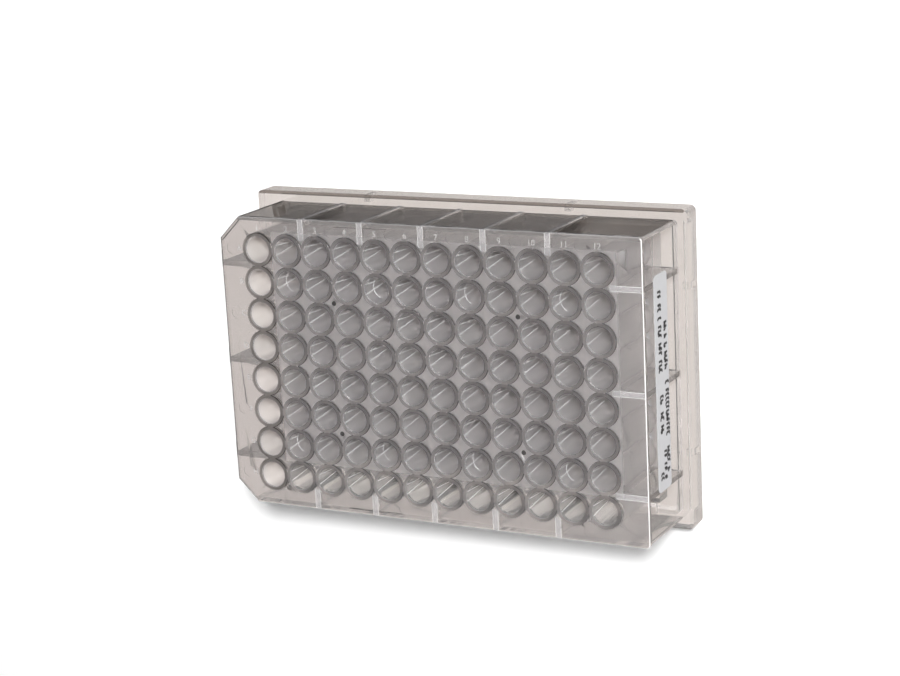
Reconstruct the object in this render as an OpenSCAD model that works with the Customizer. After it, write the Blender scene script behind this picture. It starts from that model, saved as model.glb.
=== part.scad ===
// Clear moulded plate with a grid of round wells, and its paper label.
// Frame: millimetres, +Z out of the wells, +X along the rows to the last column,
// +Y towards row A, Z = 0 under the base flange.

/* [Well grid] */
// Number of wells along a row
columns = 12; // [6:1:14]
// Number of rows
rows = 8; // [4:1:10]
// Distance between neighbouring wells
pitch = 9; // [8.6:0.05:9.4]
// Diameter of a well
well_d = 7; // [5.5:0.1:7.4]
// Depth of a well below its rim
well_depth = 23.2; // [15:0.1:24]
// How far the well rims stand above the deck
rim_up = 0.5; // [0.2:0.1:0.8]
// Thickness of the plastic under a well
floor_t = 1.5; // [1:0.1:2]
// Outer diameter of a well tube and its rim
tube_d = 9.3; // [9.3:0.05:10]

/* [Base flange] */
// Length of the base flange
base_l = 127.76; // [127.76:0.01:134]
// Width of the base flange
base_w = 85.48; // [85.48:0.01:92]
// Height of the base flange
base_h = 7.1; // [5:0.1:8]
// Radius of the flange's corners
base_r = 1.6; // [1:0.1:4]
// Bevel along the flange's upper edge
base_bevel = 0.8; // [0.2:0.1:1.5]
// Solid rim thickness at the two ends
rim_t = 4.2; // [2:0.1:4.6]
// Corner radius of the hollow inside the flange
hollow_r = 1.2; // [0.5:0.1:4]
// Thickness of the end shelves between rim and wells
shelf_t = 1.3; // [1:0.1:2.5]
// Wall of the skirt that hangs around the well block
skirt_t = 1.2; // [0.8:0.1:2]
// How far the skirt stands out from the tubes
skirt_out = 0.15; // [0.1:0.05:0.6]
// How far the skirt stops short of the base plane
skirt_up = 0.5; // [0.3:0.1:3]
// How far the skirt reaches up over the tubes
skirt_lap = 0.7; // [0.5:0.1:4]

/* [Deck] */
// Overall height of the plate, up to the well rims
total_h = 30.9; // [28:0.1:36]
// Length of the deck
deck_l = 122.8; // [121:0.1:123.4]
// Width of the deck
deck_w = 80.5; // [79.5:0.1:81.5]
// Thickness of the deck
deck_t = 1.25; // [0.8:0.05:2.5]
// Radius of the deck's two square corners
deck_r = 1.1; // [0.5:0.1:3]
// Cut at the two corners beside column 1
corner_cut = 6.1; // [3:0.1:8]

/* [Walls and ribs] */
// Thickness of the long side walls
wall_t = 1; // [0.6:0.1:1.6]
// How far the long walls sit inside the deck edge
wall_in = 0.2; // [0.1:0.05:0.8]
// Thickness of the ribs on the long sides
rib_t = 1.5; // [0.8:0.1:1.9]
// Columns from one long side rib to the next
rib_columns = 2; // [2:1:4]
// Thickness of the ribs at the two ends
end_rib_t = 1.4; // [0.8:0.1:1.9]
// Rows from one end rib to the next
rib_rows = 3; // [2:1:4]

/* [Moulding marks] */
// Depth of the ejector pin marks
pin_depth = 0.1; // [0.05:0.05:0.3]
// Distance from the deck's long edges to the pin marks' centres
pin_in = 2.8; // [2.2:0.1:3.2]
// Diameter of the ejector pin marks
pin_d = 3.3; // [2:0.1:4]
// Diameter of the four gate dimples
gate_d = 1.3; // [0.8:0.1:1.6]
// Depth of the gate dimples
gate_depth = 0.5; // [0.2:0.05:0.7]
// Length of the slots under the flange rim
slot_l = 1.8; // [1:0.1:4]
// Width of the slots under the flange rim
slot_w = 1; // [0.6:0.1:1.4]
// Depth of the slots under the flange rim
slot_depth = 3; // [1:0.1:4]
// Distance from the flange's sides to the slots' centres
slot_in = 1.9; // [1.5:0.1:2.1]
// Distance from the middle to the slots in the two ends
slot_y = 22.3; // [18:0.1:26]
// Distance from the middle to the slots in the long sides
slot_x = 30; // [26:0.1:34]

/* [Label] */
// Height of the label strip
label_h = 8.4; // [4:0.1:12]
// Distance from the deck face to the label
label_down = 6.6; // [3:0.1:9]
// Thickness of the label
label_t = 0.2; // [0.1:0.05:0.4]
// How far the label runs past the outer ribs' centres
label_over = 1.3; // [0.9:0.1:4]
// How far the label sits off the middle, towards row A
label_shift = 0.7; // [0:0.1:2]
// Corner radius of the label
label_r = 1.2; // [0.4:0.1:1.8]

/* [Hidden] */
$fn = 48;

grid_l = (columns - 1) * pitch;
grid_w = (rows - 1) * pitch;
block_l = grid_l + tube_d + 2 * skirt_out;
block_w = grid_w + tube_d + 2 * skirt_out;
deck_top = total_h - rim_up;
deck_z = deck_top - deck_t;
tube_z = total_h - well_depth - floor_t;
shelf_z = base_h - shelf_t;
wall_y = deck_w / 2 - wall_in;
hollow_l = base_l - 2 * rim_t;
hollow_w = 2 * (wall_y - wall_t);
shelf_w = hollow_w + wall_t;
rib_z = base_h - shelf_t / 2;
rib_h = deck_z + deck_t / 2 - rib_z;
end_edge = deck_l / 2;
pin_x = (grid_l / 2 + tube_d / 2 + deck_l / 2) / 2;
pin_y = deck_w / 2 - pin_in;
eps = 0.01;

function column_x(c) = (c - 1) * pitch - grid_l / 2;
function row_y(r) = grid_w / 2 - (r - 1) * pitch;

// Ribs stand between two columns or rows, never on a well.
rib_xs = [for (c = [rib_columns : rib_columns : columns - 1]) column_x(c) + pitch / 2];
end_rib_ys = [for (r = [1 : rib_rows : rows - 1]) row_y(r) - pitch / 2];

module rounded_rect(l, w, r) {
    square([l - 2 * r, w], center = true);
    square([l, w - 2 * r], center = true);
    for (sx = [-1, 1], sy = [-1, 1])
        translate([sx * (l / 2 - r), sy * (w / 2 - r)]) circle(r);
}

module deck_outline(inset = 0) {
    cut = corner_cut + inset * (2 - sqrt(2));
    difference() {
        rounded_rect(deck_l - 2 * inset, deck_w - 2 * inset, deck_r);
        for (sy = [-1, 1])
            translate([inset - deck_l / 2, sy * (deck_w / 2 - inset)])
                rotate(45) square(sqrt(2) * (cut - inset), center = true);
    }
}

module at_wells() {
    for (c = [1 : columns], r = [1 : rows])
        translate([column_x(c), row_y(r), 0]) children();
}

// A bar's cross-section with its two upper corners bevelled, along X.
module bevelled_bar(l, w, h, bevel) {
    rotate([90, 0, 90]) linear_extrude(l, center = true)
        polygon([
            [-w / 2, 0], [w / 2, 0],
            [w / 2, h - bevel], [w / 2 - bevel, h],
            [bevel - w / 2, h], [-w / 2, h - bevel]
        ]);
}

module base_flange() {
    difference() {
        intersection() {
            linear_extrude(base_h) rounded_rect(base_l, base_w, base_r);
            bevelled_bar(base_l + 2, base_w, base_h, base_bevel);
            rotate(90) bevelled_bar(base_w + 2, base_l, base_h, base_bevel);
        }
        translate([0, 0, -1])
            linear_extrude(base_h + 2) rounded_rect(hollow_l, hollow_w, hollow_r);
    }
}

module end_shelves() {
    inner = block_l / 2 - skirt_t / 2;
    outer = hollow_l / 2 + rim_t / 2;
    for (sx = [-1, 1])
        translate([sx * (inner + outer) / 2, 0, shelf_z + shelf_t / 2])
            cube([outer - inner, shelf_w, shelf_t], center = true);
}

module skirt() {
    top = max(base_h, tube_z + skirt_lap);
    translate([0, 0, skirt_up]) linear_extrude(top - skirt_up) difference() {
        square([block_l, block_w], center = true);
        square([block_l - 2 * skirt_t, block_w - 2 * skirt_t], center = true);
    }
}

// The well tubes, which run up through the deck to their raised rims.
module tubes() {
    translate([0, 0, tube_z]) linear_extrude(total_h - tube_z)
        for (c = [1 : columns], r = [1 : rows])
            translate([column_x(c), row_y(r)]) circle(d = tube_d);
}

module long_walls() {
    translate([0, 0, base_h / 2]) linear_extrude(deck_z + deck_t / 2 - base_h / 2)
        intersection() {
            deck_outline(wall_in);
            for (sy = [-1, 1])
                translate([0, sy * (wall_y - wall_t / 2)])
                    square([deck_l, wall_t], center = true);
        }
}

module long_ribs() {
    inner = grid_w / 2;
    outer = deck_w / 2;
    for (x = rib_xs, sy = [-1, 1])
        translate([x, sy * (inner + outer) / 2, rib_z + rib_h / 2])
            cube([rib_t, outer - inner, rib_h], center = true);
}

module end_ribs() {
    inner = grid_l / 2;
    outer = deck_l / 2;
    for (y = end_rib_ys, sx = [-1, 1])
        translate([sx * (inner + outer) / 2, y, rib_z + rib_h / 2])
            cube([outer - inner, end_rib_t, rib_h], center = true);
}

module wells() {
    at_wells() translate([0, 0, total_h - well_depth]) cylinder(d = well_d, h = well_depth + 1);
}

module moulding_marks() {
    z = deck_top - pin_depth;
    // Ejector pin marks beside the grid, at the ends and along the long sides
    for (sx = [-1, 1], r = [1, 3, rows - 2, rows])
        translate([sx * pin_x, row_y(r), z]) cylinder(d = pin_d, h = 1);
    for (sy = [-1, 1], c = [1 : 2 : columns - 1])
        translate([column_x(c) + pitch / 2, sy * pin_y, z]) cylinder(d = pin_d, h = 1);
    // Gate dimples in the webs between four wells
    for (c = [3, columns - 3], r = [2, rows - 2])
        translate([column_x(c) + pitch / 2, row_y(r) - pitch / 2, deck_top - gate_depth])
            cylinder(d = gate_d, h = gate_depth + 1);
}

module rim_slots() {
    x = base_l / 2 - slot_in;
    y = base_w / 2 - slot_in;
    for (sx = [-1, 1], sy = [-1, 1]) {
        translate([sx * x, sy * slot_y, slot_depth / 2 - eps])
            cube([slot_w, slot_l, slot_depth], center = true);
        translate([sx * slot_x, sy * y, slot_depth / 2 - eps])
            cube([slot_l, slot_w, slot_depth], center = true);
    }
}

module well_plate() {
    color([0.86, 0.84, 0.82, 0.45]) difference() {
        union() {
            base_flange();
            end_shelves();
            skirt();
            tubes();
            long_walls();
            long_ribs();
            end_ribs();
            translate([0, 0, deck_z]) linear_extrude(deck_t) deck_outline();
        }
        wells();
        moulding_marks();
        rim_slots();
    }
}

// Paper strip stuck across the outer edges of the end ribs beside the last column.
module side_label() {
    span = end_rib_ys[0] - end_rib_ys[len(end_rib_ys) - 1] + 2 * label_over;
    mid = (end_rib_ys[0] + end_rib_ys[len(end_rib_ys) - 1]) / 2 + label_shift;
    color([0.85, 0.85, 0.86])
        translate([end_edge, mid, deck_top - label_down - label_h / 2])
            rotate([90, 0, 90]) linear_extrude(label_t) rounded_rect(span, label_h, label_r);
}

well_plate();
side_label();
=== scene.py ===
# A clear 96-well plate with its paper side label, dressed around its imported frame.
import bpy, bmesh, math, random
from mathutils import Matrix, Vector


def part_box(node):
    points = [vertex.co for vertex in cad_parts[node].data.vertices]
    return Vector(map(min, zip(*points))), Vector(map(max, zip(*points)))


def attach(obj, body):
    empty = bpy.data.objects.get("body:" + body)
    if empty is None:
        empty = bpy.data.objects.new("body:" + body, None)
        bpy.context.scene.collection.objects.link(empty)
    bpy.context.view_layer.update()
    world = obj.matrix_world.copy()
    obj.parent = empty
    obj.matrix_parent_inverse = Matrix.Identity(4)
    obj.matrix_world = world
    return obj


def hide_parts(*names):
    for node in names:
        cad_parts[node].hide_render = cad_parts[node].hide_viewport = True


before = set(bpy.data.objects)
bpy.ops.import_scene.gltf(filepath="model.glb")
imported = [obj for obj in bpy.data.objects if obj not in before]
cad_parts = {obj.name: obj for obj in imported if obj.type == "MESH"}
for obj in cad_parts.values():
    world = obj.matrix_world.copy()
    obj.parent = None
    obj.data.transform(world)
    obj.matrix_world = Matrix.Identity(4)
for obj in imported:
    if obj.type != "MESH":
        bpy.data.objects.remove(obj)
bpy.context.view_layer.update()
scene = bpy.context.scene
scene.view_settings.view_transform = "Standard"

# Lengths are millimetres unless a note says metres, and are multiplied by mm where Blender takes them
mm = 0.001
rimUp = 0.5                                # how far the well rims stand above the deck
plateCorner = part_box("well_plate")[1] / mm
rimTop = plateCorner.z
deckTop = rimTop - rimUp
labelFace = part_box("side_label")[1].x / mm

# The deck's outline: its end, its side, and x and y together along its cut corners
deckPoints = [v.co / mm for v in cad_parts["well_plate"].data.vertices if v.co.z / mm > deckTop - rimUp]
deckEnd = max(point.x for point in deckPoints)
deckSide = max(point.y for point in deckPoints)
deckCut = max(point.y - point.x for point in deckPoints)


def addObject(name, mesh):
    made = bpy.data.objects.new(name, mesh)
    scene.collection.objects.link(made)
    return made


def addFromWork(name, work, material):
    # Turns a working mesh into an object with one material
    mesh = bpy.data.meshes.new(name)
    work.to_mesh(mesh)
    work.free()
    mesh.materials.append(material)
    return addObject(name, mesh)


def addNode(tree, kind, **settings):
    node = tree.nodes.new(kind)
    for key, value in settings.items():
        setattr(node, key, value)
    return node


def feed(tree, value, socket):
    # Links another node's socket, or sets a plain number or colour
    if isinstance(value, bpy.types.NodeSocket):
        tree.links.new(value, socket)
    else:
        socket.default_value = value


def maths(tree, operation, *values):
    node = addNode(tree, "ShaderNodeMath", operation=operation)
    for value, socket in zip(values, node.inputs):
        feed(tree, value, socket)
    return node.outputs[0]


cameraSettings = {
    "place": (263.43, 148.58, 510.57),
    "right": (0.88701, -0.04959, -0.45907),
    "up": (-0.07003, 0.96827, -0.23991),
    "lens": 86.96, "sensor": 36,
    "clip": (0.02, 20),                    # metres
}


def makeCamera(settings):
    data = bpy.data.cameras.new("plateCamera")
    data.sensor_width = settings["sensor"]
    data.lens = settings["lens"]
    data.clip_start, data.clip_end = settings["clip"]
    camera = addObject("plateCamera", data)
    right, up = Vector(settings["right"]).normalized(), Vector(settings["up"]).normalized()
    turn = Matrix((right, up, right.cross(up))).transposed().to_4x4()
    camera.matrix_world = Matrix.Translation(Vector(settings["place"]) * mm) @ turn
    scene.camera = camera


makeCamera(cameraSettings)
print("camera set")


zoneSettings = {
    "pitch": 9,
    "hazeX": (-45.3, 54.4), "hazeY": (-27.3, 36.4),   # the block of wells without column 1 and row H, where the plastics are rougher and take a slightly greyer tint as painted shade
    "sideTo": -45.3,                       # column 1 ends here; painted shade darkens its rims and their outlines most
    "deckFrom": 29,                        # height above which the clear plastic is tinted grey, as painted shade
    "darkTurn": 32,                        # the side of each rim that gets the most painted shade
    "darkFade": (-0.9, 0.5),               # cosines between which it gets dark
}

flowSettings = {
    "moulding": (110, 900),                # scales of the waves and of the grain
    "paper": (400, 4000),
    "detail": (2, 3),
    "shares": (0.7, 0.3),
}

mouldingSettings = {"ior": 1.47, "grain": 0.06, "relief": 0.004, "stretch": (1, 0.5, 0.25)}

# Each plastic of the moulding, with the tints that it takes in the zones. One plastic tints the wall beside
# row A dark and another darkens the edges of the deck and the flange, both as painted shade, and bands makes
# the edges and the tops of the ribs pale as painted light
plasticSettings = {
    # The clear plastic: tinted grey on the deck as painted shade, and a little greyer in the block of wells
    "clear": {"color": (0.97, 0.955, 0.94, 1), "through": 0.9, "roughness": 0.02, "hazeRoughness": 0.3,
              "zones": {"Deck": (0.68, 0.66, 0.652, 1), "HazeAndShade": (0.95, 0.925, 0.922, 1)}},
    # The softened edges: pale and barely clear, a painted highlight
    "edges": {"color": (0.95, 0.94, 0.93, 1), "through": 0.2, "roughness": 0.15,
              "zones": {"HazeAndShade": (0.95, 0.95, 0.96, 1)}},
    "wells": {"color": (1, 0.988, 0.975, 1), "through": 0.86, "roughness": 0.07, "hazeRoughness": 0.45,
              "zones": {"HazeAndShade": (0.988, 0.966, 0.968, 1)}},
    # The tops of the rims: darkened as painted shade, more on one side of each rim and most on column 1
    "rims": {"color": (0.42, 0.4, 0.4, 1), "through": 0.85, "roughness": 0.3,
             "zones": {"Turned": (0.2, 0.187, 0.188, 1), "Side": (0.15, 0.14, 0.134, 1)}},
    "shade": {"color": (0.05, 0.047, 0.045, 1), "through": 0.3, "roughness": 0.4},
    # The outlines: pale as painted highlight, and darkened on one side of each rim and on column 1 as painted
    # shade
    "outlines": {"color": (0.6, 0.59, 0.6, 1), "through": 0.7, "roughness": 0.2,
                 "zones": {"Turned": (0.2, 0.19, 0.195, 1), "Side": (0.05, 0.044, 0.041, 1)}},
    # The raised letters and numbers: pale and less clear, a painted highlight
    "marks": {"color": (0.95, 0.94, 0.93, 1), "through": 0.68, "roughness": 0.2,
              "zones": {"HazeAndShade": (0.85, 0.84, 0.84, 1)}},
    # The light lines in the wells: white and glowing a little, a painted reflection
    "lines": {"color": (0.9, 0.9, 0.9, 1), "through": 0, "roughness": 0.3, "glow": 0.2},
    # The wall beside row A, tinted dark: painted shade
    "pocketShade": {"color": (0.2, 0.187, 0.177, 1), "through": 0.96, "roughness": 0.05, "ior": 1.05},
    # The dark edges of the deck and the flange: painted shade
    "edgeShade": {"color": (0.19, 0.165, 0.15, 1), "through": 0.85, "roughness": 0.15},
    # Pale bands on the deck's edge along row A, on column 1's inner rim edges and over the ribs: painted
    # light
    "bands": {"color": (0.85, 0.84, 0.85, 1), "through": 0.75, "roughness": 0.15,
              "zones": {"HazeAndShade": (0.7, 0.69, 0.7, 1)}},
    # The wells of column 1: pale and less clear, painted light
    "sideWells": {"color": (1, 0.955, 0.93, 1), "through": 0.6, "roughness": 0.2},
    "flangeSide": {"color": (0.96, 0.94, 0.92, 1), "through": 0.8, "roughness": 0.1, "ior": 1.12},
    # The end ribs' faces and the long wall's inner face past its tint: darkened as painted shade
    "ribs": {"color": (0.5, 0.47, 0.45, 1), "through": 0.85, "roughness": 0.15},
}

# The label's paper is a grey darker than white paper, standing for the shade on the label's side: painted
# shade
paperSettings = {"color": (0.46, 0.46, 0.47, 1), "roughness": 0.7, "grain": 0.08, "relief": 0.01}
inkSettings = {"color": (0.02, 0.02, 0.022, 1), "roughness": 0.45, "grain": 0.3, "relief": 0.01}


def newMaterial(name):
    material = bpy.data.materials.new(name)
    material.use_nodes = True
    tree = material.node_tree
    tree.nodes.clear()
    return material, tree


def mixed(tree, factor, first, second, blend="MIX"):
    node = addNode(tree, "ShaderNodeMix", data_type="RGBA", blend_type=blend)
    factorSocket, firstSocket, secondSocket = (node.inputs[i] for i in (0, 6, 7))   # its colour sockets
    feed(tree, factor, factorSocket)
    feed(tree, first, firstSocket)
    feed(tree, second, secondSocket)
    return node.outputs[2]


def smoothStep(tree, value, low, high):
    node = addNode(tree, "ShaderNodeMapRange", interpolation_type="SMOOTHSTEP")
    node.inputs["From Min"].default_value = low
    node.inputs["From Max"].default_value = high
    tree.links.new(value, node.inputs["Value"])
    return node.outputs["Result"]


def makeZones(settings):
    # Masks for the block of wells, the side of each rim with the most painted shade, column 1 and the deck;
    # they set the plastics' tints, mostly painted shade, and the roughness in the block
    tree = bpy.data.node_groups.new("mouldingZones", "ShaderNodeTree")
    for name, key in (("Pitch", "pitch"), ("Side To", "sideTo"), ("Deck From", "deckFrom")):
        socket = tree.interface.new_socket(name, in_out="INPUT", socket_type="NodeSocketFloat")
        socket.default_value = settings[key] * mm
    for name in ("HazeAndShade", "Turned", "Side", "Deck"):
        tree.interface.new_socket(name, in_out="OUTPUT", socket_type="NodeSocketFloat")
    given, out = addNode(tree, "NodeGroupInput"), addNode(tree, "NodeGroupOutput")
    link = tree.links.new
    coordinate = addNode(tree, "ShaderNodeTexCoord")
    split = addNode(tree, "ShaderNodeSeparateXYZ")
    link(coordinate.outputs["Object"], split.inputs[0])
    x, y, z = split.outputs

    def within(value, limits):
        low, high = limits
        return maths(tree, "MULTIPLY", maths(tree, "GREATER_THAN", value, low * mm),
                     maths(tree, "LESS_THAN", value, high * mm))

    def offAxis(value):
        # How far a point lies off the middle of its own well, as a share of the pitch
        count = maths(tree, "DIVIDE", value, given.outputs["Pitch"])
        return maths(tree, "SUBTRACT", maths(tree, "FRACT", count), 0.5)

    link(maths(tree, "MULTIPLY", within(x, settings["hazeX"]), within(y, settings["hazeY"])),
         out.inputs["HazeAndShade"])
    link(maths(tree, "LESS_THAN", x, given.outputs["Side To"]), out.inputs["Side"])
    link(maths(tree, "GREATER_THAN", z, given.outputs["Deck From"]), out.inputs["Deck"])
    across, along = offAxis(x), offAxis(y)
    reach = maths(tree, "SQRT", maths(tree, "ADD", maths(tree, "MULTIPLY", across, across),
                                      maths(tree, "MULTIPLY", along, along)))
    angle = math.radians(settings["darkTurn"])
    toward = maths(tree, "ADD", maths(tree, "MULTIPLY", across, math.cos(angle)),
                   maths(tree, "MULTIPLY", along, math.sin(angle)))
    link(smoothStep(tree, maths(tree, "DIVIDE", toward, reach), *settings["darkFade"]), out.inputs["Turned"])
    return tree


def makeFlow(name, scales, settings):
    # Slow waves and fine grain that shift a material's tint, roughness and height
    tree = bpy.data.node_groups.new(name, "ShaderNodeTree")
    tree.interface.new_socket("Amount", in_out="INPUT", socket_type="NodeSocketFloat")
    tree.interface.new_socket("Stretch", in_out="INPUT", socket_type="NodeSocketVector")
    tree.interface.new_socket("Tint", in_out="OUTPUT", socket_type="NodeSocketColor")
    for each in ("Roughness", "Height"):
        tree.interface.new_socket(each, in_out="OUTPUT", socket_type="NodeSocketFloat")
    given, out = addNode(tree, "NodeGroupInput"), addNode(tree, "NodeGroupOutput")
    link = tree.links.new
    coordinate = addNode(tree, "ShaderNodeTexCoord")
    pulled = addNode(tree, "ShaderNodeVectorMath", operation="MULTIPLY")
    link(coordinate.outputs["Object"], pulled.inputs[0])
    link(given.outputs["Stretch"], pulled.inputs[1])
    vectors = (pulled.outputs[0], coordinate.outputs["Object"])
    found = []
    for vector, scale, detail in zip(vectors, scales, settings["detail"]):
        noise = addNode(tree, "ShaderNodeTexNoise")
        noise.inputs["Scale"].default_value = scale
        noise.inputs["Detail"].default_value = detail
        link(vector, noise.inputs["Vector"])
        found.append(noise.outputs["Fac"])
    waves, grain = (maths(tree, "MULTIPLY", value, share) for value, share in zip(found, settings["shares"]))
    both = maths(tree, "ADD", waves, grain)
    level, cooler = (maths(tree, "SUBTRACT", 1, maths(tree, "MULTIPLY", value, given.outputs["Amount"]))
                     for value in (both, found[0]))
    tint = addNode(tree, "ShaderNodeCombineColor")
    for value, socket in zip((level, cooler, level), tint.inputs):
        link(value, socket)
    link(tint.outputs[0], out.inputs["Tint"])
    link(maths(tree, "MULTIPLY", maths(tree, "SUBTRACT", both, 0.5), given.outputs["Amount"]),
         out.inputs["Roughness"])
    link(both, out.inputs["Height"])
    return tree


mouldingZones = makeZones(zoneSettings)
mouldFlow = makeFlow("mouldFlow", flowSettings["moulding"], flowSettings)
paperGrain = makeFlow("paperGrain", flowSettings["paper"], flowSettings)


def newSurface(name):
    material, tree = newMaterial(name)
    surface = addNode(tree, "ShaderNodeBsdfPrincipled")
    out = addNode(tree, "ShaderNodeOutputMaterial")
    tree.links.new(surface.outputs["BSDF"], out.inputs["Surface"])
    return material, tree, surface


def grained(tree, surface, group, color, roughness, settings):
    # Joins a grain group to the shader's colour, roughness and surface relief
    grain = addNode(tree, "ShaderNodeGroup")
    grain.node_tree = group
    grain.inputs["Amount"].default_value = settings["grain"]
    grain.inputs["Stretch"].default_value = settings.get("stretch", (1, 1, 1))
    tree.links.new(mixed(tree, 1, color, grain.outputs["Tint"], "MULTIPLY"), surface.inputs["Base Color"])
    tree.links.new(maths(tree, "ADD", roughness, grain.outputs["Roughness"]), surface.inputs["Roughness"])
    bump = addNode(tree, "ShaderNodeBump")
    bump.inputs["Strength"].default_value = 1
    bump.inputs["Distance"].default_value = settings["relief"] * mm
    tree.links.new(grain.outputs["Height"], bump.inputs["Height"])
    tree.links.new(bump.outputs["Normal"], surface.inputs["Normal"])


def makePlastic(name, settings):
    material, tree, surface = newSurface(name)
    color, roughness = settings["color"], settings["roughness"]
    if "zones" in settings:
        zones = addNode(tree, "ShaderNodeGroup")
        zones.node_tree = mouldingZones
        for zone, tint in settings["zones"].items():
            color = mixed(tree, zones.outputs[zone], color, tint)
        if "hazeRoughness" in settings:
            roughness = maths(tree, "MULTIPLY_ADD", zones.outputs["HazeAndShade"],
                              settings["hazeRoughness"] - roughness, roughness)
    grained(tree, surface, mouldFlow, color, roughness, mouldingSettings)
    surface.inputs["IOR"].default_value = settings.get("ior", mouldingSettings["ior"])
    surface.inputs["Transmission Weight"].default_value = settings["through"]
    surface.inputs["Emission Strength"].default_value = settings.get("glow", 0)
    return material


def makePaper(name, settings):
    material, tree, surface = newSurface(name)
    grained(tree, surface, paperGrain, settings["color"], settings["roughness"], settings)
    return material


plastics = {name: makePlastic(name + "Plastic", settings) for name, settings in plasticSettings.items()}
labelPaper = makePaper("labelPaper", paperSettings)
printInk = makePaper("printInk", inkSettings)
print("plastics", len(plastics))


plateSettings = {
    "merge": 0.002,                        # points nearer than this are one
    "flatAngle": 0.5, "smoothAngle": 28,
    "rimEdge": 0.17, "deckEdge": 0.22,     # widths of the softened edges
    "edgeAngle": 40, "edgeSteps": 2,
    "edgeReach": 0.35,                     # how near the deck's outline its softened edges lie
    "slack": 0.05,
    "facing": 0.9, "upright": 0.5,         # shares of a normal: straight along an axis, and off level
    "deckThick": 1.25, "markDepth": 0.1,
    "rimFrom": 0.1,                        # above the deck's face, where only rims are left
    "flangeTop": 7.1, "flangeBevel": 0.8, "flangeSide": 0.24,
    "wallFaces": (0.2, 1.2),               # how far inside the deck's side the long wall's faces lie
    "wallFoot": 7.3,
    "tintEnd": ((-55.3, 13), (7.3, 11)),   # x and z where the long wall's tint of painted shade ends, and its slant
    "pitch": 9, "rimMiddle": 4,            # from a well's axis to the middle of its rim
    "blockHalf": (54.4, 36.4),             # half the block of wells with its rims
    "sideTubes": -44.8,                    # the tubes of column 1 end here
    "gates": (27, 18), "gateReach": 0.8,   # the four gate dimples
}


def onLongWall(center, normal, settings):
    # Whether a face is one of the two faces of the wall beside row A
    outer, inner = (deckSide - depth for depth in settings["wallFaces"])
    between = inner - settings["slack"] < center.y / mm < outer + settings["slack"]
    return between and abs(normal.y) > settings["facing"]


def pastTint(x, z, settings):
    (startX, startZ), (runX, runZ) = settings["tintEnd"]
    return (x - startX) * runZ < (z - startZ) * runX


def softEdgePlastic(x, y, z, settings):
    # Picks the plastic of each rounded face: pale edges and outlines as painted highlight, pale bands as
    # painted light, dark ones as painted shade
    pitch, reach = settings["pitch"], settings["edgeReach"]
    if z > deckTop + settings["rimFrom"]:
        fromAxis = math.hypot(*((each / pitch % 1 - 0.5) * pitch for each in (x, y)))
        inner = fromAxis < settings["rimMiddle"]
        return "bands" if inner and x < zoneSettings["sideTo"] else "outlines"
    if y - x > deckCut - reach:
        return "shade"
    # The deck's rounded edge at column 1 is darkened as painted shade
    if x < reach - deckEnd:
        return "edgeShade"
    return "bands" if y > deckSide - reach else "edges"


def facePlastic(face, corners, settings):
    x, y, z = face.center / mm
    normal, slack, facing, upright = face.normal, settings["slack"], settings["facing"], settings["upright"]
    deckFoot, markFoot = deckTop - settings["deckThick"], deckTop - settings["markDepth"]
    flangeTop, (halfX, halfY) = settings["flangeTop"], settings["blockHalf"]
    underDeck, deckEdge = flangeTop < z < deckFoot, deckFoot < z < markFoot
    # The wall beside row A is tinted dark as painted shade; past the slant its inner face is darkened less,
    # also painted shade
    if onLongWall(face.center, normal, settings) and z > settings["wallFoot"]:
        if pastTint(x, z, settings):
            return "ribs" if y < deckSide - settings["wallFaces"][1] + slack else "clear"
        return "pocketShade"
    if underDeck and y > deckSide - slack and abs(normal.y) > facing:
        return "outlines"
    if deckEdge and y - x > deckCut - settings["edgeReach"] and abs(normal.z) < upright:
        return "shade"
    # The deck's side at column 1 and the flange's bevel along row A are darkened as painted shade
    if deckEdge and x < slack - deckEnd and normal.x < -facing:
        return "edgeShade"
    if flangeTop - settings["flangeBevel"] < z < flangeTop and y > deckSide and upright < normal.z < facing:
        return "edgeShade"
    if y > plateCorner.y - settings["flangeSide"] and normal.y > facing:
        return "flangeSide"
    if markFoot < z < deckTop and abs(normal.z) < upright:
        return "outlines"
    # The faces of the end ribs are darkened as painted shade
    if underDeck and x < -halfX and abs(y) < halfY and abs(normal.y) > facing:
        return "ribs"
    if underDeck and x > deckEnd - slack and normal.x > facing:
        return "ribs"
    if all(abs(c.x) < halfX and abs(c.y) < halfY for c in corners):
        gateX, gateY = settings["gates"]
        if z > deckTop + settings["rimFrom"]:
            return "rims"
        if all(math.hypot(abs(c.x) - gateX, abs(c.y) - gateY) < settings["gateReach"] for c in corners):
            return "shade"
        # The wells of column 1 are made pale as painted light
        if z < deckFoot:
            return "sideWells" if all(c.x < settings["sideTubes"] for c in corners) else "wells"
    return "clear"


def pickPlastics(mesh, settings):
    order = list(plastics)
    for face in mesh.polygons:
        if face.material_index == order.index("edges"):
            name = softEdgePlastic(*(face.center / mm), settings)
        else:
            name = facePlastic(face, [mesh.vertices[i].co / mm for i in face.vertices], settings)
        face.material_index = order.index(name)


def cutLongWall(work, settings):
    # Cuts the wall beside row A above the flange, and along the slant where its tint of painted shade ends
    (startX, startZ), (runX, runZ) = settings["tintEnd"]
    for place, normal in (((0, 0, settings["wallFoot"]), (0, 0, 1)), ((startX, 0, startZ), (runZ, 0, -runX))):
        wall = [f for f in work.faces if onLongWall(f.calc_center_median(), f.normal, settings)]
        around = wall + [e for f in wall for e in f.edges] + [v for f in wall for v in f.verts]
        bmesh.ops.bisect_plane(work, geom=list(dict.fromkeys(around)), plane_co=Vector(place) * mm,
                               plane_no=normal)


def onOutline(point, reach):
    return (abs(point.x) > deckEnd - reach or abs(point.y) > deckSide - reach
            or abs(point.x) + abs(point.y) > deckCut - reach)


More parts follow.
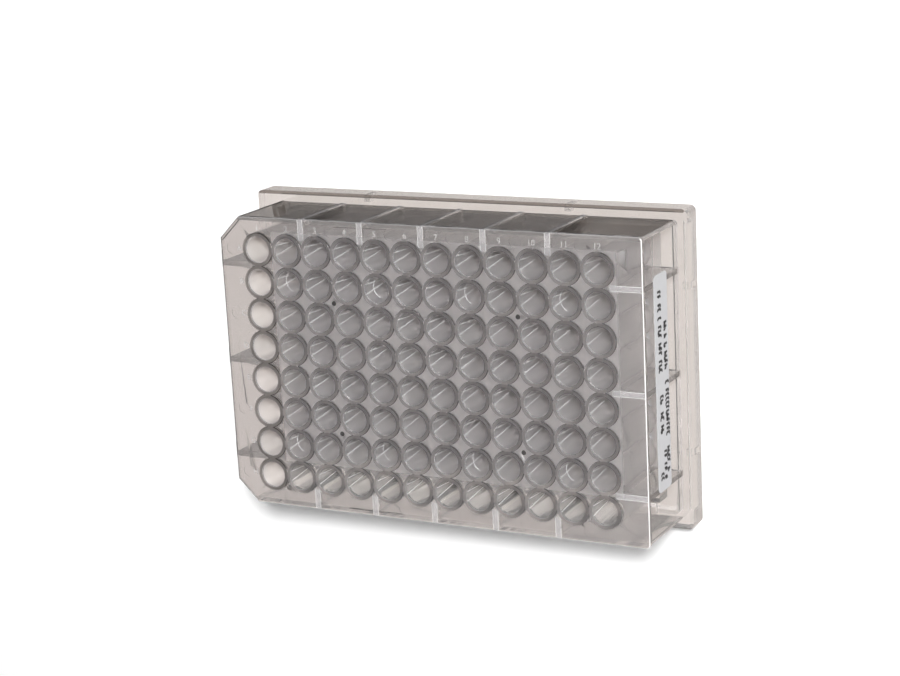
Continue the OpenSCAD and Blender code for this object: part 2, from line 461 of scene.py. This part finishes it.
def softenEdges(work, settings):
    # Rounds the edges of the rims, then the deck's outer edge
    rounded = 0
    passes = ((rimTop, settings["rimEdge"], False), (deckTop, settings["deckEdge"], True))
    for height, width, outlineOnly in passes:
        chosen = []
        for edge in work.edges:
            ends = [v.co / mm for v in edge.verts]
            level = all(abs(end.z - height) < settings["merge"] for end in ends)
            if not level or edge.calc_face_angle(0) < math.radians(settings["edgeAngle"]):
                continue
            if not outlineOnly or all(onOutline(end, settings["edgeReach"]) for end in ends):
                chosen.append(edge)
        # The rounded faces take the pale edge plastic, a painted highlight
        made = bmesh.ops.bevel(work, geom=chosen, offset=width * mm, offset_type="OFFSET",
                               segments=settings["edgeSteps"], profile=0.5, affect="EDGES",
                               clamp_overlap=False, material=list(plastics).index("edges"))
        rounded += len(made["faces"])
    print("rounded", rounded)


def makePlate(settings):
    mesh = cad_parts["well_plate"].data.copy()
    mesh.name = "clearPlate"
    mesh.materials.clear()
    for plastic in plastics.values():
        mesh.materials.append(plastic)
    plate = addObject("clearPlate", mesh)
    work = bmesh.new()
    work.from_mesh(mesh)
    bmesh.ops.remove_doubles(work, verts=work.verts, dist=settings["merge"] * mm)
    bmesh.ops.dissolve_limit(work, angle_limit=math.radians(settings["flatAngle"]), verts=work.verts,
                             edges=work.edges, delimit=set())
    cutLongWall(work, settings)
    softenEdges(work, settings)
    work.to_mesh(mesh)
    work.free()
    pickPlastics(mesh, settings)
    mesh.shade_smooth()
    mesh.set_sharp_from_angle(angle=math.radians(settings["smoothAngle"]))
    print("plate", len(mesh.vertices), len(mesh.polygons))
    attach(plate, "root")
    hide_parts("well_plate")


makePlate(plateSettings)

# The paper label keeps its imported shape
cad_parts["side_label"].data.materials.clear()
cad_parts["side_label"].data.materials.append(labelPaper)


def treeWith(name, numbers):
    # A node tree with one named input for each number
    tree = bpy.data.node_groups.new(name, "GeometryNodeTree")
    tree.interface.new_socket("Geometry", in_out="INPUT", socket_type="NodeSocketGeometry")
    for each, value in numbers.items():
        kind = "NodeSocketInt" if isinstance(value, int) else "NodeSocketFloat"
        tree.interface.new_socket(each, in_out="INPUT", socket_type=kind).default_value = value
    tree.interface.new_socket("Geometry", in_out="OUTPUT", socket_type="NodeSocketGeometry")
    return tree, addNode(tree, "NodeGroupInput"), addNode(tree, "NodeGroupOutput")


def moved(tree, geometry, place):
    node = addNode(tree, "GeometryNodeTransform")
    node.inputs["Translation"].default_value = Vector(place) * mm
    tree.links.new(geometry, node.inputs["Geometry"])
    return node.outputs["Geometry"]


def onGrid(tree, given, thing, counts, pitches):
    # One instance of thing at each point of a flat grid
    link = tree.links.new
    grid = addNode(tree, "GeometryNodeMeshGrid")
    for count, pitch, axis in zip(counts, pitches, "XY"):
        span = maths(tree, "MULTIPLY", maths(tree, "SUBTRACT", given.outputs[count], 1), given.outputs[pitch])
        link(span, grid.inputs["Size " + axis])
        link(given.outputs[count], grid.inputs["Vertices " + axis])
    put = addNode(tree, "GeometryNodeInstanceOnPoints")
    link(grid.outputs["Mesh"], put.inputs["Points"])
    link(thing, put.inputs["Instance"])
    return put.outputs["Instances"]


def finished(tree, geometry, material):
    # Real geometry with its material
    real = addNode(tree, "GeometryNodeRealizeInstances")
    tree.links.new(geometry, real.inputs["Geometry"])
    paint = addNode(tree, "GeometryNodeSetMaterial")
    paint.inputs["Material"].default_value = material
    tree.links.new(real.outputs["Geometry"], paint.inputs["Geometry"])
    return paint.outputs["Geometry"]


def bake(name, tree, numbers):
    # Runs a node tree on an empty mesh and keeps the result as a plain piece, with the plastics that its tree
    # gave it
    holder = addObject(name, bpy.data.meshes.new(name))
    modifier = holder.modifiers.new("build", "NODES")
    modifier.node_group = tree
    for item in tree.interface.items_tree:
        if item.in_out == "INPUT" and item.name in numbers:
            modifier[item.identifier] = numbers[item.name]
    mesh = bpy.data.meshes.new_from_object(holder.evaluated_get(bpy.context.evaluated_depsgraph_get()))
    holder.modifiers.clear()
    holder.data = mesh
    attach(holder, "root")
    print(name, len(mesh.polygons))


# Painted reflections: two light lines in each well from column 2 on, and an arc in some of them, as white
# wires that glow a little
wellLineSettings = {
    "columns": 11, "rows": 8, "pitch": 9, "shift": 4.5, "radius": 3.46,
    "depths": (0.1, 9.7),                  # below the rims, where each line starts and ends
    "turns": ((201.7, 187), (156, 169)),   # round the well, where each line starts and ends
    "thickness": 0.065, "wireSides": 4,
    "arcColumns": 4, "arcRows": 2, "arcPitch": (27, 45), "arcDepth": 4.6,
    "arcTurns": (138, 245), "arcPoints": 12, "arcThickness": 0.05,
}


def wire(tree, curve, radius, sides):
    link = tree.links.new
    profile = addNode(tree, "GeometryNodeCurvePrimitiveCircle")
    profile.inputs["Resolution"].default_value = sides
    link(radius, profile.inputs["Radius"])
    tube = addNode(tree, "GeometryNodeCurveToMesh")
    tube.inputs["Fill Caps"].default_value = True
    link(curve, tube.inputs["Curve"])
    link(profile.outputs["Curve"], tube.inputs["Profile Curve"])
    return tube.outputs["Mesh"]


def makeWellLines(settings, material):
    numbers = {"Columns": settings["columns"], "Rows": settings["rows"], "Pitch": settings["pitch"] * mm,
               "Thickness": settings["thickness"] * mm,
               "Arc columns": settings["arcColumns"], "Arc rows": settings["arcRows"],
               "Arc pitch X": settings["arcPitch"][0] * mm, "Arc pitch Y": settings["arcPitch"][1] * mm,
               "Arc thickness": settings["arcThickness"] * mm}
    tree, given, out = treeWith("wellLinesTree", numbers)
    link = tree.links.new
    radius, sides = settings["radius"], settings["wireSides"]
    everything = addNode(tree, "GeometryNodeJoinGeometry")
    for turns in settings["turns"]:
        line = addNode(tree, "GeometryNodeCurvePrimitiveLine")
        for socket, turn, depth in zip(("Start", "End"), turns, settings["depths"]):
            angle = math.radians(turn)
            end = Vector((radius * math.cos(angle), radius * math.sin(angle), rimTop - depth))
            line.inputs[socket].default_value = end * mm
        inWells = onGrid(tree, given, wire(tree, line.outputs["Curve"], given.outputs["Thickness"], sides),
                         ("Columns", "Rows"), ("Pitch", "Pitch"))
        link(moved(tree, inWells, (settings["shift"], 0, 0)), everything.inputs["Geometry"])
    arc = addNode(tree, "GeometryNodeCurveArc")
    start, end = (math.radians(turn) for turn in settings["arcTurns"])
    for socket, value in (("Resolution", settings["arcPoints"]), ("Radius", radius * mm),
                          ("Start Angle", start), ("Sweep Angle", end - start)):
        arc.inputs[socket].default_value = value
    bent = wire(tree, arc.outputs["Curve"], given.outputs["Arc thickness"], sides)
    link(onGrid(tree, given, moved(tree, bent, (0, 0, rimTop - settings["arcDepth"])),
                ("Arc columns", "Arc rows"), ("Arc pitch X", "Arc pitch Y")), everything.inputs["Geometry"])
    link(finished(tree, everything.outputs["Geometry"], material), out.inputs["Geometry"])
    bake("wellLines", tree, numbers)


makeWellLines(wellLineSettings, plastics["lines"])


# Painted light: a pale band over each rib of the long sides and of the column 12 end, with two lighter lines
# as painted highlight
ribBandSettings = {
    "ribs": {
        "Long": {"count": (5, 2), "pitch": (18, 74.5), "middle": (0, 0), "size": (1.5, 5.7),
                 "across": (1, 0)},
        "End": {"count": (1, 3), "pitch": (0, 27), "middle": (56.8, 0), "size": (8.8, 1.4),
                "across": (0, 1)},
    },
    "line": 0.09,
    "sunk": 0.04, "bandUp": 0.02, "lineUp": 0.04,     # below and above the deck's face
}


def makeRibBands(settings, band, edge):
    numbers = {}
    for kind, rib in settings["ribs"].items():
        for axis, count, pitch in zip("XY", rib["count"], rib["pitch"]):
            numbers[f"{kind} ribs {axis}"] = count
            numbers[f"{kind} pitch {axis}"] = pitch * mm
    tree, given, out = treeWith("ribBandTree", numbers)
    link = tree.links.new

    def block(size, place, up):
        cube = addNode(tree, "GeometryNodeMeshCube")
        cube.inputs["Size"].default_value = Vector((*size, settings["sunk"] + up)) * mm
        return moved(tree, cube.outputs["Mesh"], (*place, deckTop + (up - settings["sunk"]) / 2))

    bands, lines, everything = (addNode(tree, "GeometryNodeJoinGeometry") for _ in range(3))
    for kind, rib in settings["ribs"].items():
        middle, size, across = (Vector(rib[key]) for key in ("middle", "size", "across"))
        thin = [settings["line"] if turned else full for turned, full in zip(across, size)]
        blocks = [(bands, block(size, middle, settings["bandUp"]))]
        for side in (-0.5, 0.5):
            blocks.append((lines, block(thin, middle + side * size * across, settings["lineUp"])))
        for join, shape in blocks:
            link(onGrid(tree, given, shape, (f"{kind} ribs X", f"{kind} ribs Y"),
                        (f"{kind} pitch X", f"{kind} pitch Y")), join.inputs["Geometry"])
    for join, material in ((bands, band), (lines, edge)):
        link(finished(tree, join.outputs["Geometry"], material), everything.inputs["Geometry"])
    link(everything.outputs["Geometry"], out.inputs["Geometry"])
    bake("ribBands", tree, numbers)


makeRibBands(ribBandSettings, plastics["bands"], plastics["edges"])


# Dark rods of the shade plastic, painted shade inside the corner cut, where the long wall ends and beside
# each rib of the column 1 end
shadeLineSettings = {
    "sides": 4, "radius": 0.14,
    "lines": [((-60.75, 33.53, 30.36), (-55, 39.28, 30.36)),   # inside the corner cut
              ((-55.2, 40.12, 29.2), (-55.2, 40.12, 7.2))],    # where the long wall ends
    "ribs": (27, 0, -27),
    "ribLine": ((-61.28, 3.6, 30.3), (-61.28, -0.9, 30.3)),    # beside each rib of the column 1 end
}


def makeShadeLines(settings, material):
    lines = list(settings["lines"])
    for y in settings["ribs"]:
        lines.append([Vector(point) + Vector((0, y, 0)) for point in settings["ribLine"]])
    radius = settings["radius"] * mm
    work = bmesh.new()
    for line in lines:
        start, end = (Vector(point) * mm for point in line)
        turn = (end - start).to_track_quat("Z", "Y").to_matrix().to_4x4()
        bmesh.ops.create_cone(work, cap_ends=True, segments=settings["sides"], radius1=radius, radius2=radius,
                              depth=(end - start).length, matrix=Matrix.Translation((start + end) / 2) @ turn)
    shadeLines = addFromWork("shadeLines", work, material)
    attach(shadeLines, "root")
    print("shadeLines", len(shadeLines.data.polygons))


makeShadeLines(shadeLineSettings, plastics["shade"])


# The raised letters of the rows and numbers of the columns, in a pale plastic that is a painted highlight
gridMarkSettings = {
    "letters": "ABCDEFGH", "columns": 12, "pitch": 9,
    "letterX": -55.5, "numberY": 37.35,
    "size": 2.3, "height": 0.12, "sunk": 0.04, "smoothness": 3, "merge": 0.001,
}


def makeGridMarks(settings, material):
    letters, columns, pitch = settings["letters"], settings["columns"], settings["pitch"]
    places = [(letter, settings["letterX"], ((len(letters) - 1) / 2 - i) * pitch)
              for i, letter in enumerate(letters)]
    places += [(str(i + 1), (i - (columns - 1) / 2) * pitch, settings["numberY"]) for i in range(columns)]
    z = deckTop + settings["height"] / 2 - settings["sunk"]
    joined = bmesh.new()
    for word, x, y in places:
        curve = bpy.data.curves.new("mark", "FONT")
        curve.body = word
        curve.size = settings["size"] * mm
        curve.align_x = curve.align_y = "CENTER"
        curve.extrude = settings["height"] / 2 * mm
        curve.resolution_u = settings["smoothness"]
        text = addObject("mark", curve)
        mesh = bpy.data.meshes.new_from_object(text.evaluated_get(bpy.context.evaluated_depsgraph_get()))
        mesh.transform(Matrix.Translation(Vector((x, y, z)) * mm))
        joined.from_mesh(mesh)
        bpy.data.objects.remove(text)
        bpy.data.curves.remove(curve)
        bpy.data.meshes.remove(mesh)
    bmesh.ops.remove_doubles(joined, verts=joined.verts, dist=settings["merge"] * mm)
    marks = addFromWork("gridMarks", joined, material)
    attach(marks, "root")
    print("gridMarks", len(marks.data.polygons))


makeGridMarks(gridMarkSettings, plastics["marks"])


labelPrintSettings = {
    "proud": 0.03, "stroke": 0.6, "step": 1.12, "wide": (0.45, 0.75), "gap": 0.13, "seed": 7,
    # start and end along Y, middle height and height of each line of strokes
    "lines": [(24.5, 3.9, 20.9, 1.9), (16, 3.8, 17.3, 1.9),
              (-2.6, -13.8, 20.6, 1.9), (0.5, -13.7, 17, 1.9),
              (-21.8, -25.4, 21.2, 1.5), (-17.4, -24.6, 19.1, 1.5), (-16.9, -23.6, 17, 1.5)],
}


def makeLabelPrint(settings, material):
    # Dark strokes with no words in them, where the label carries its print
    dice = random.Random(settings["seed"])
    work = bmesh.new()

    def stroke(y0, z0, y1, z1):
        start, end = Vector((0, y0, z0)), Vector((0, y1, z1))
        along = end - start
        across = Vector((0, -along.z, along.y)).normalized() * settings["stroke"] / 2
        corners = [start + across, start - across, end - across, end + across]
        front, back = ([work.verts.new((corner + Vector((x, 0, 0))) * mm) for corner in corners]
                       for x in (labelFace + settings["proud"], labelFace - settings["proud"]))
        work.faces.new(front)
        work.faces.new(back[::-1])
        for i in range(len(corners)):
            work.faces.new((front[i - 1], front[i], back[i], back[i - 1]))

    for start, end, middle, tall in settings["lines"]:
        low, high = middle - tall / 2, middle + tall / 2
        y = start
        while y > end:
            wide = settings["step"] * dice.uniform(*settings["wide"])
            kind = dice.randrange(6)       # which strokes this sign has
            if kind < 5:
                stroke(y, low, y, high)
            if kind in (0, 3):
                stroke(y, high, y - wide, high)
            if kind in (1, 3, 4):
                stroke(y, low, y - wide, low)
            if kind in (2, 4):
                stroke(y, middle, y - wide, middle)
            if kind in (0, 2):
                stroke(y - wide, middle, y - wide, high)
            y -= settings["step"] * (2 if dice.random() < settings["gap"] else 1)
    bmesh.ops.recalc_face_normals(work, faces=work.faces)
    labelPrint = addFromWork("labelPrint", work, material)
    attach(labelPrint, "root")
    print("labelPrint", len(labelPrint.data.polygons))


makeLabelPrint(labelPrintSettings, printInk)


floorSettings = {
    "size": 6,                             # metres, as whiteFrom
    "color": (0.9, 0.9, 0.9, 1),
    "seenGlow": 0.12,
    "whiteFrom": (0.16, 0.5),              # distances between which the floor turns plain white
}


def makeFloor(settings):
    mesh = bpy.data.meshes.new("floor")
    half = settings["size"] / 2
    mesh.from_pydata([(-half, -half, 0), (half, -half, 0), (half, half, 0), (-half, half, 0)],
                     [], [(0, 1, 2, 3)])
    floor = addObject("floor", mesh)
    material, tree = newMaterial("paleFloor")
    link = tree.links.new
    path = addNode(tree, "ShaderNodeLightPath")

    # Near the plate the floor is pale and takes its shadow
    plain = addNode(tree, "ShaderNodeBsdfDiffuse")
    plain.inputs["Color"].default_value = settings["color"]
    seen = addNode(tree, "ShaderNodeEmission")
    seen.inputs["Color"].default_value = (1, 1, 1, 1)
    link(maths(tree, "MULTIPLY", path.outputs["Is Camera Ray"], settings["seenGlow"]),
         seen.inputs["Strength"])
    near = addNode(tree, "ShaderNodeAddShader")
    link(plain.outputs[0], near.inputs[0])
    link(seen.outputs[0], near.inputs[1])

    # Away from it the floor shows plain white up to the horizon
    coordinate = addNode(tree, "ShaderNodeTexCoord")
    away = addNode(tree, "ShaderNodeVectorMath", operation="LENGTH")
    link(coordinate.outputs["Object"], away.inputs[0])
    white = addNode(tree, "ShaderNodeEmission")
    nearOrFar = addNode(tree, "ShaderNodeMixShader")
    link(maths(tree, "MULTIPLY", smoothStep(tree, away.outputs["Value"], *settings["whiteFrom"]),
               path.outputs["Is Camera Ray"]), nearOrFar.inputs["Fac"])
    link(near.outputs[0], nearOrFar.inputs[1])
    link(white.outputs[0], nearOrFar.inputs[2])

    # What the plastic refracts or mirrors passes the floor and shows the world below it
    clear = addNode(tree, "ShaderNodeBsdfTransparent")
    mix = addNode(tree, "ShaderNodeMixShader")
    link(maths(tree, "MAXIMUM", path.outputs["Is Transmission Ray"], path.outputs["Is Glossy Ray"]),
         mix.inputs["Fac"])
    link(nearOrFar.outputs[0], mix.inputs[1])
    link(clear.outputs[0], mix.inputs[2])
    out = addNode(tree, "ShaderNodeOutputMaterial")
    link(mix.outputs[0], out.inputs["Surface"])
    mesh.materials.append(material)


makeFloor(floorSettings)


worldSettings = {
    "backdrop": (0.66, 0.6, 0.565, 1),     # below the horizon, for all light that is not steep
    "room": (0.14, 0.136, 0.136, 1),       # steeply below, away from the backdrop's side
    "backdropSide": (0, -1, 0),
    "backdropWidth": (-0.2, 0.35),         # cosines between which the backdrop fades in
    "steep": (0.6, 0.78),                  # heights between which level light gives way to steep light
    "skyline": (-0.02, 0.02),
    "fill": (0.13, 0.13, 0.13, 1),
    "overhead": (0.4, 0.4, 0.41, 1),
    "horizon": (0.45, 0.45, 0.45, 1),
    "screen": (2.15, 2.02, 2.0, 1),        # the pale screen that the deck's face mirrors
    "screenSide": (-0.465, -0.262, 0.847),
    "screenWidth": (0.86, 0.94),
}


def towards(tree, direction, side):
    # The cosine between a direction and one side of the room
    node = addNode(tree, "ShaderNodeVectorMath", operation="DOT_PRODUCT")
    node.inputs[1].default_value = Vector(side).normalized()
    tree.links.new(direction, node.inputs[0])
    return node.outputs["Value"]


def makeWorld(settings):
    world = bpy.data.worlds.new("studio")
    scene.world = world
    world.use_nodes = True
    tree = world.node_tree
    tree.nodes.clear()
    link = tree.links.new
    coordinate = addNode(tree, "ShaderNodeTexCoord")
    path = addNode(tree, "ShaderNodeLightPath")
    direction = coordinate.outputs["Generated"]
    split = addNode(tree, "ShaderNodeSeparateXYZ")
    link(direction, split.inputs[0])
    flat = addNode(tree, "ShaderNodeVectorMath", operation="MULTIPLY")
    flat.inputs[1].default_value = (1, 1, 0)
    link(direction, flat.inputs[0])
    level = addNode(tree, "ShaderNodeVectorMath", operation="NORMALIZE")
    link(flat.outputs[0], level.inputs[0])
    steep = smoothStep(tree, maths(tree, "ABSOLUTE", split.outputs["Z"]), *settings["steep"])

    # Below the horizon: a pale backdrop all round, and steeply below it a dark room away from one side
    behind = smoothStep(tree, towards(tree, level.outputs[0], settings["backdropSide"]),
                        *settings["backdropWidth"])
    down = mixed(tree, steep, settings["backdrop"],
                 mixed(tree, behind, settings["room"], settings["backdrop"]))

    # Above it: an even fill, and soft light with the pale screen for what the plastic mirrors or shows
    up = mixed(tree, steep, settings["horizon"], settings["overhead"])
    shown = maths(tree, "MAXIMUM", path.outputs["Is Glossy Ray"], path.outputs["Is Transmission Ray"])
    screen = smoothStep(tree, towards(tree, direction, settings["screenSide"]), *settings["screenWidth"])
    up = mixed(tree, maths(tree, "MULTIPLY", shown, screen), up, settings["screen"])
    up = mixed(tree, shown, settings["fill"], up)

    # The camera itself sees plain white
    light, seen = (addNode(tree, "ShaderNodeBackground") for _ in range(2))
    link(mixed(tree, smoothStep(tree, split.outputs["Z"], *settings["skyline"]), down, up),
         light.inputs["Color"])
    seen.inputs["Color"].default_value = (1, 1, 1, 1)
    mix = addNode(tree, "ShaderNodeMixShader")
    link(path.outputs["Is Camera Ray"], mix.inputs["Fac"])
    link(light.outputs[0], mix.inputs[1])
    link(seen.outputs[0], mix.inputs[2])
    out = addNode(tree, "ShaderNodeOutputWorld")
    link(mix.outputs[0], out.inputs["Surface"])


makeWorld(worldSettings)


lampSettings = {
    "target": (0, 0, 0.015),               # metres, as away and size
    "lamps": [
        {"name": "key", "toward": (0.45, 0.42, 0.9), "away": 1.2, "size": (0.22, 0.2), "radiance": 140},
        {"name": "side", "toward": (0.9, 0.1, 0.42), "away": 1.0, "size": (0.4, 0.3), "radiance": 5},
    ],
}


def makeLamps(settings):
    target = Vector(settings["target"])
    for each in settings["lamps"]:
        width, height = each["size"]
        data = bpy.data.lights.new(each["name"], "AREA")
        data.shape = "RECTANGLE"
        data.size, data.size_y = width, height
        data.energy = each["radiance"] * math.pi * width * height
        lamp = addObject(each["name"], data)
        lamp.location = target + Vector(each["toward"]).normalized() * each["away"]
        lamp.rotation_mode = "QUATERNION"
        lamp.rotation_quaternion = (target - lamp.location).to_track_quat("-Z", "Y")


makeLamps(lampSettings)

# Light passes many walls of the plate before it leaves
scene.cycles.max_bounces = 48
scene.cycles.transmission_bounces = 48
scene.cycles.glossy_bounces = 16
print("stage set")
